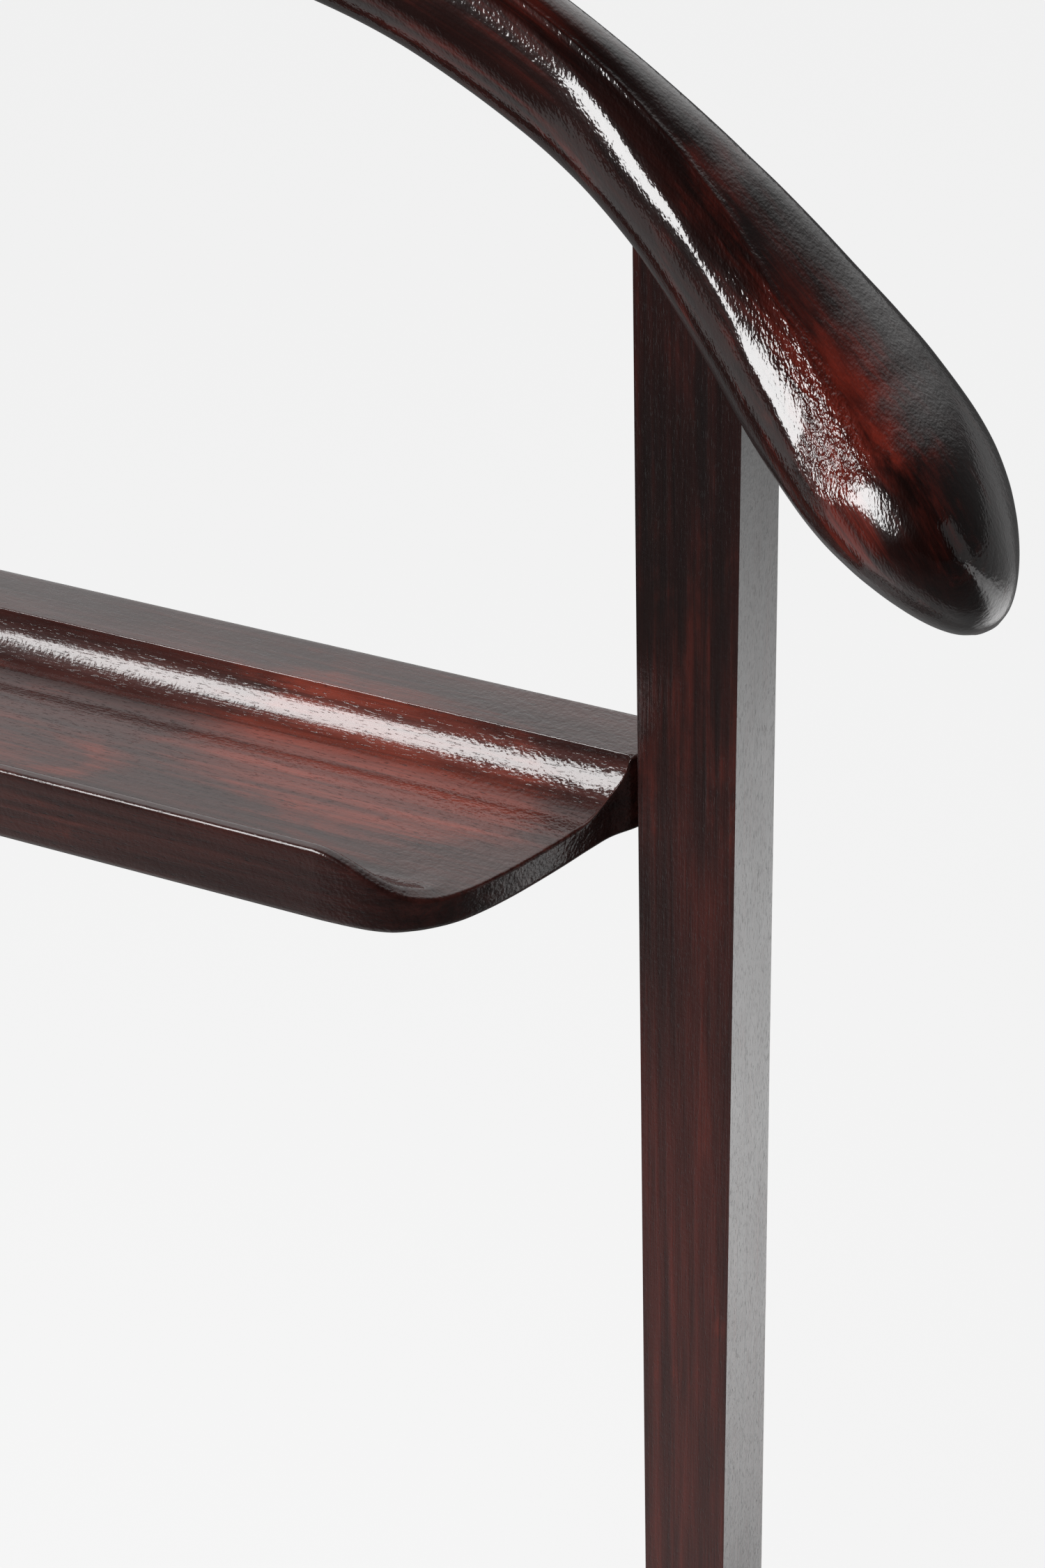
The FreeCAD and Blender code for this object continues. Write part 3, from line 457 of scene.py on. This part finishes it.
def carved_hanger():
    st = stations
    run = np.r_[0, np.cumsum(np.linalg.norm(np.diff(st[:, :3], axis=0), axis=1))]
    full = np.r_[-run[:0:-1], run]
    sgn = np.array([-1, 1, 1, -1, 1, 1, 1, 1.0])
    both = np.vstack([st[:0:-1] * np.array([-1, 1, 1, -1, -1, 1, 1, 1.0]), st])
    half_n = 230
    u = np.linspace(0, 1, half_n)
    s = run[-1] * (1 - (1 - u) ** 1.35)
    s = np.r_[-s[:0:-1], s]
    col = [catmull(full, both[:, i], s) for i in range(8)]
    for i in (6, 7):
        col[i] = hermite(full, both[:, i], s)
    x, y, z, slope, sweep, roll, a, b = col
    sl, sw, ro = np.radians(slope), np.radians(sweep), np.radians(roll)
    T = np.c_[np.cos(sl) * np.cos(sw), np.sin(sw), np.sin(sl) * np.cos(sw)]
    n1 = np.array([0, 1.0, 0]) - T * T[:, 1:2]
    n1 /= np.linalg.norm(n1, axis=1)[:, None]
    n2 = np.cross(T, n1)
    m1 = np.cos(ro)[:, None] * n1 + np.sin(ro)[:, None] * n2
    m2 = -np.sin(ro)[:, None] * n1 + np.cos(ro)[:, None] * n2
    nv = 264
    v = np.linspace(0, 2 * np.pi, nv, endpoint=False)
    c, sn = np.cos(v), np.sin(v)
    cu = np.sign(c) * np.abs(c) ** 0.9
    su = np.sign(sn) * np.abs(sn) ** 0.9
    ax = np.abs(x)
    # a fine ridge along the top's front edge, a hollow below it and a fold where the front roll begins, all running out into the shoulder
    deg = np.degrees(v)[None, :]

    def along(xs, ys):
        xs, ys = np.array(xs, float), np.array(ys, float)
        return hermite(xs, ys, np.clip(ax, xs[0], xs[-1] - 1e-6))[:, None]

    def eased(q):
        q = np.clip(q, 0, 1)
        return q * q * (3 - 2 * q)

    ridge_at = along([0, 116, 128, 140, 150, 160, 170, 180, 190, 200, 210, 218], [120, 120, 121, 120, 120, 126, 138, 149, 157, 167, 176, 182])
    roll_at = along([0, 116, 123, 133, 143, 151, 160, 166, 174, 182, 189, 195, 199, 210, 218], [136, 136, 139, 147, 152, 157, 162, 169, 175, 181, 184, 189, 194, 202, 206])
    wide = roll_at - ridge_at
    hollow = along([0, 80, 120, 140, 152, 162, 172], [0.4, 0.5, 0.6, 0.7, 0.8, 0.6, 0.0])
    q = (deg - ridge_at - 0.45 * wide) / (wide * 0.5)
    disp = -hollow * np.exp(-np.abs(np.where(q < 0, 0.55, 1.0) * q) ** 2.4)
    tilt = along([0, 145, 155, 163, 170, 178, 186, 192, 198, 204, 212, 222, 232], [0, 0, 0.10, 0.24, 0.34, 0.38, 0.41, 0.41, 0.37, 0.27, 0.14, 0.05, 0.0])
    turn_at = ridge_at + along([0, 160, 175, 190], [0.4, 0.35, 0.30, 0.25]) * wide
    begin = ridge_at - 24.0
    arc = np.hypot(a[:, None] * np.sin(v)[None, :], b[:, None] * np.cos(v)[None, :]) * (2 * np.pi / nv)
    lean = tilt * (0.5 * eased((deg - begin) / 22.0) + 0.5 * eased((deg - turn_at) / (roll_at - turn_at))) * (1 - eased((deg - roll_at + 2.5) / 8.0))
    fold = -np.cumsum((lean * arc)[:, ::-1], axis=1)[:, ::-1]
    deepest = fold.min(1, keepdims=True)
    fold = np.where(deg < begin, deepest * (1 - eased((begin - deg) / (begin - 50.0))), fold)
    disp += fold
    disp += along([0, 80, 120, 150, 165, 185, 200, 208], [0.15, 0.25, 0.35, 0.35, 0.38, 0.38, 0.2, 0.0]) * np.exp(-((deg - ridge_at) / 3.6) ** 2)
    # where the lacquer is grainier: between the ridge and the roll, and across the neck of the shoulder
    upto = roll_at - 7.0 + along([0, 196, 203, 239], [0, 0, 22, 22])
    rub = along([0, 168, 186, 198, 206, 211, 239], [0, 0.25, 1.0, 1.7, 1.7, 0.0, 0.0]) * eased((deg - ridge_at + 12) / 8.0) * eased((upto - deg) / 6.0)
    cen = np.c_[x, y, z]
    G = cen[:, None, :] + (a[:, None] * cu[None, :])[:, :, None] * m1[:, None, :] + (b[:, None] * su[None, :])[:, :, None] * m2[:, None, :]
    out = G - cen[:, None, :]
    ln = np.linalg.norm(out, axis=2)
    G = G + out / ln[:, :, None] * disp[:, :, None]
    # hand-shaped: very slight flats and swells
    wob = 0.10 * np.sin(s[:, None] / 19.0 + 2 * v[None, :]) + 0.06 * np.sin(s[:, None] / 9.0 - 3 * v[None, :] + 1.0)
    G = G + out / ln[:, :, None] * (wob * np.clip((ln - 6) / 10, 0, 1))[:, :, None]
    ns = len(s)
    verts = [p * MM for p in G.reshape(-1, 3)]
    faces = []
    for i in range(ns - 1):
        for j in range(nv):
            k = (j + 1) % nv
            faces.append((i * nv + j, i * nv + k, (i + 1) * nv + k, (i + 1) * nv + j))
    # close each tip with a small dome
    for end, i in ((0, 0), (1, ns - 1)):
        direction = T[i] * (1 if end else -1)
        tip_len = 0.10 * b[i]
        rings = 5
        prev = [i * nv + j for j in range(nv)]
        for r in range(1, rings):
            f = math.cos(math.pi / 2 * r / rings)
            h = math.sin(math.pi / 2 * r / rings)
            base = len(verts)
            for j in range(nv):
                p = cen[i] + (G[i, j] - cen[i]) * f + direction * tip_len * h
                verts.append(p * MM)
            ring = list(range(base, base + nv))
            for j in range(nv):
                k = (j + 1) % nv
                q = (prev[j], prev[k], ring[k], ring[j])
                faces.append(q if end else q[::-1])
            prev = ring
        base = len(verts)
        verts.append((cen[i] + direction * tip_len) * MM)
        for j in range(nv):
            k = (j + 1) % nv
            q = (prev[j], prev[k], base)
            faces.append(q if end else q[::-1])
    ob = new_mesh("hanger_carved", verts, [f[::-1] for f in faces])
    co = np.array(verts)
    # grain follows the length of the piece; tint marks where the stain is redder
    sv = np.interp(co[:, 0] / MM, x, s)
    ang = np.zeros(len(co))
    rad = np.zeros(len(co))
    n_main = ns * nv
    ang[:n_main] = np.tile(v, ns)
    ang[n_main:] = 0
    cz = np.interp(co[:, 0] / MM, x, z)
    cy = np.interp(co[:, 0] / MM, x, y)
    dy, dz = co[:, 1] / MM - cy, co[:, 2] / MM - cz
    point_attribute(ob, "grain", "FLOAT_VECTOR", np.c_[sv, dy, dz] * MM)
    xr, zr, yr = co[:, 0] / MM, co[:, 2] / MM, co[:, 1] / MM
    side = np.where(xr < 0, -1, 1)
    ux = np.abs(xr)
    red = np.zeros(len(co))
    for px, py, pz, rr, amt in ((203, -16, 1039, 13, 1.3), (199, -12, 1045, 9, 0.5), (207, -29, 1028, 8, 1.0), (211, -36, 1014, 9, 1.3), (217, -22, 1030, 15, 0.5), (188.5, -2, 1050, 13, 0.5), (120.4, 9.3, 1096.3, 20.5, 0.5), (165.5, 7.6, 1067.6, 13, 0.35)):
        d2 = (ux - px) ** 2 + (yr - py) ** 2 + (zr - pz) ** 2
        red += amt * np.exp(-d2 / rr ** 2)
    point_attribute(ob, "redness", "FLOAT", red)
    grainy = np.zeros(len(co))
    grainy[:n_main] = rub.ravel()
    point_attribute(ob, "rub", "FLOAT", grainy)
    ob.data.materials.append(wood_hanger)
    return ob


hanger = carved_hanger()
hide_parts("hanger")
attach(hanger, "frame")


# --------------------------------------------------------------------------------------------------- tray, carved
def carved_tray():
    zt, zf, zl, zb = 920.0, 907.7, 919.2, 899.1
    front, back = -55.5, 24.9
    edge = np.array([(0, -55.5), (86.0, -55.5), (92.0, -55.5), (98.3, -55.3), (104.4, -54.8), (110.0, -53.5), (114.9, -50.8), (119.3, -47.1), (123.2, -42.5), (126.5, -36.6),
                     (129.5, -29.8), (132.2, -22.5), (134.8, -14.7), (137.3, -6.5), (140.2, 1.7), (143.7, 7.3), (145.0, 9.6)])
    u = np.r_[np.linspace(0, 86, 46, endpoint=False), np.linspace(86, 139, 140, endpoint=False), np.linspace(139, 145, 22)]
    yf_half = hermite(edge[:, 0], edge[:, 1], u)
    xs = np.r_[-u[:0:-1], u]
    yf = np.r_[yf_half[:0:-1], yf_half]
    slope = np.gradient(yf, xs)
    stretch = np.sqrt(1 + slope ** 2)
    lip_amt = 1 - np.clip((np.abs(xs) - 91.7) / 28.7, 0, 1)
    lip_amt = lip_amt ** 2 * (3 - 2 * lip_amt)

    def rail_height(y):
        # a plain cove rising to an arris along the rail's front edge
        arc_r, start = 14.9, -7.0
        q = np.clip(y - start, 0.0, 14.8)
        rise = arc_r - np.sqrt(arc_r ** 2 - q ** 2)
        return np.minimum(rise, 12.3)

    def lip_height(d):
        pts = np.array([(0, 11.5), (2.3, 11.5), (3.2, 11.1), (3.9, 10.2), (4.5, 8.85), (5.2, 6.6), (6.2, 4.3), (7.6, 2.4), (9.4, 1.0), (11.3, 0.25), (13.1, 0.0), (50, 0.0)])
        return hermite(pts[:, 0], pts[:, 1], np.clip(d, 0, 50))

    loops = []
    n_top = 110
    for i, xx in enumerate(xs):
        y0, k = yf[i], stretch[i]
        r = 1.0
        ry = min(r * k, 4.0)
        rb = 2.1
        ryb = min(rb * k, 6.5)
        span = back - 1.2 - y0 - ry
        arris = max((7.62 - y0 - ry) / span, 0.05)
        crowd = np.array([-0.30, -0.12, 0.0, 0.12, 0.30]) / span
        tt = np.r_[(arris + crowd[0]) * np.linspace(0, 1, 88, endpoint=False) ** 1.2, arris + crowd, np.linspace(arris + crowd[-1], 1, n_top - 92)[1:]]
        yy = y0 + ry + span * tt
        ra, li = rail_height(yy), lip_amt[i] * lip_height((yy - y0) / k)
        hh = zf + np.sqrt(ra ** 2 + li ** 2)
        h0 = hh[0]
        loop = []
        nb = 14
        for q in range(nb):
            f = q / (nb - 1)
            loop.append((back - 2.1 + (y0 + ryb - back + 2.1) * f, zb))
        for q in range(1, 7):
            a = math.radians(270 - 90 * q / 6)
            loop.append((y0 + ryb + ryb * math.cos(a), zb + rb + rb * math.sin(a)))
        for q in range(1, 8):
            f = q / 8
            loop.append((y0, zb + rb + (h0 - r - zb - rb) * f))
        for q in range(0, 6):
            a = math.radians(180 - 90 * q / 6)
            loop.append((y0 + ry + ry * math.cos(a), h0 - r + r * math.sin(a)))
        for q in range(n_top):
            loop.append((yy[q], hh[q]))
        zb_top = hh[-1]
        for q in range(1, 6):
            a = math.radians(90 - 90 * q / 5)
            loop.append((back - 1.2 + 1.2 * math.cos(a), zb_top - 1.2 + 1.2 * math.sin(a)))
        for q in range(1, 6):
            loop.append((back, zb_top - 1.2 + (zb + 2.1 - zb_top + 1.2) * q / 6))
        for q in range(0, 6):
            a = math.radians(-90 * q / 6)
            loop.append((back - 2.1 + 2.1 * math.cos(a), zb + 2.1 + 2.1 * math.sin(a)))
        loops.append(loop)
    n = len(loops[0])
    verts = [(xs[i] * MM, y * MM, z * MM) for i, loop in enumerate(loops) for y, z in loop]
    faces = []
    for i in range(len(xs) - 1):
        for j in range(n):
            k = (j + 1) % n
            faces.append((i * n + j, (i + 1) * n + j, (i + 1) * n + k, i * n + k))
    faces.append(tuple(range(n)))
    faces.append(tuple(range((len(xs) - 1) * n, len(xs) * n))[::-1])
    ob = new_mesh("tray_carved", verts, faces)
    co = np.array(verts) / MM
    red = np.zeros(len(co))
    for px, py, rr, amt in ((75, -5, 21, 1.1), (93, -22, 20, 0.9), (26, -23, 25, 0.4), (115, -9, 12, 0.9), (50, -3, 20, 0.5), (-70, -19, 25, 0.5), (-20, -25, 22, 0.4)):
        d2 = (co[:, 0] - px) ** 2 / 2.2 + (co[:, 1] - py) ** 2
        red += amt * np.exp(-d2 / rr ** 2) * (co[:, 2] > 900)
    point_attribute(ob, "redness", "FLOAT", red)
    ob.data.materials.append(wood_tray)
    return ob


tray = carved_tray()
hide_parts("tray")
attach(tray, "frame")


# ------------------------------------------------------------------------------------------------------ felt pads
def felt_pad(name, cad, body, out):
    lo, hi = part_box(cad)
    nx, nz = 96, 150
    w, h = hi.x - lo.x, hi.z - lo.z
    rng = np.random.default_rng(11 if out > 0 else 12)
    t0 = hi.y - lo.y
    verts, faces = [], []

    def outline(u, v):
        r = 0.008
        x, z = lo.x + u * w, lo.z + v * h
        return x, z

    ph = rng.uniform(0, 6.28, 12)
    for layer in (0, 1):
        for i in range(nx + 1):
            for j in range(nz + 1):
                u, v = i / nx, j / nz
                x, z = outline(u, v)
                e = min(u * w, (1 - u) * w, v * h, (1 - v) * h)
                k = 1 - math.exp(-(e / 0.0012)) * 0.55
                wave = 0.00006 * (math.sin(x * 310 + ph[0]) + math.sin(z * 270 + ph[1]) + math.sin((x + z) * 190 + ph[2]))
                yback = lo.y if out > 0 else hi.y
                yface = (lo.y + t0 * (0.96 * k)) if out > 0 else (hi.y - t0 * (0.96 * k))
                y = yback if layer == 0 else yface + wave * (1 if k > 0.9 else 0) * (1 if out > 0 else -1) - (0.00018 if out > 0 else -0.00018)
                cx = max(0.0, 0.008 - u * w) if u < 0.5 else max(0.0, 0.008 - (1 - u) * w)
                cz = max(0.0, 0.008 - v * h) if v < 0.5 else max(0.0, 0.008 - (1 - v) * h)
                if cx > 0 and cz > 0:
                    d = math.hypot(cx, cz)
                    if d > 0.008:
                        f = 0.008 / d
                        x += (cx - cx * f) * (1 if u < 0.5 else -1)
                        z += (cz - cz * f) * (1 if v < 0.5 else -1)
                verts.append((x, y, z))
    n = (nx + 1) * (nz + 1)

    def idx(layer, i, j):
        return layer * n + i * (nz + 1) + j

    for i in range(nx):
        for j in range(nz):
            a = (idx(0, i, j), idx(0, i + 1, j), idx(0, i + 1, j + 1), idx(0, i, j + 1))
            b = (idx(1, i, j), idx(1, i, j + 1), idx(1, i + 1, j + 1), idx(1, i + 1, j))
            faces += [a, b] if out > 0 else [a[::-1], b[::-1]]
    rim = [(i, 0) for i in range(nx)] + [(nx, j) for j in range(nz)] + [(i, nz) for i in range(nx, 0, -1)] + [(0, j) for j in range(nz, 0, -1)]
    for k, (i, j) in enumerate(rim):
        i2, j2 = rim[(k + 1) % len(rim)]
        q = (idx(0, i, j), idx(1, i, j), idx(1, i2, j2), idx(0, i2, j2))
        faces.append(q if out > 0 else q[::-1])
    ob = new_mesh(name, verts, faces)
    ob.data.materials.append(cloth_felt)
    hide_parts(cad)
    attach(ob, body)
    return ob


felt_pad("felt_front", "front_pad", "front_board", 1)
felt_pad("felt_back", "back_pad", "frame", -1)

# -------------------------------------------------------------------------------------------------------- finish
bpy.context.view_layer.update()
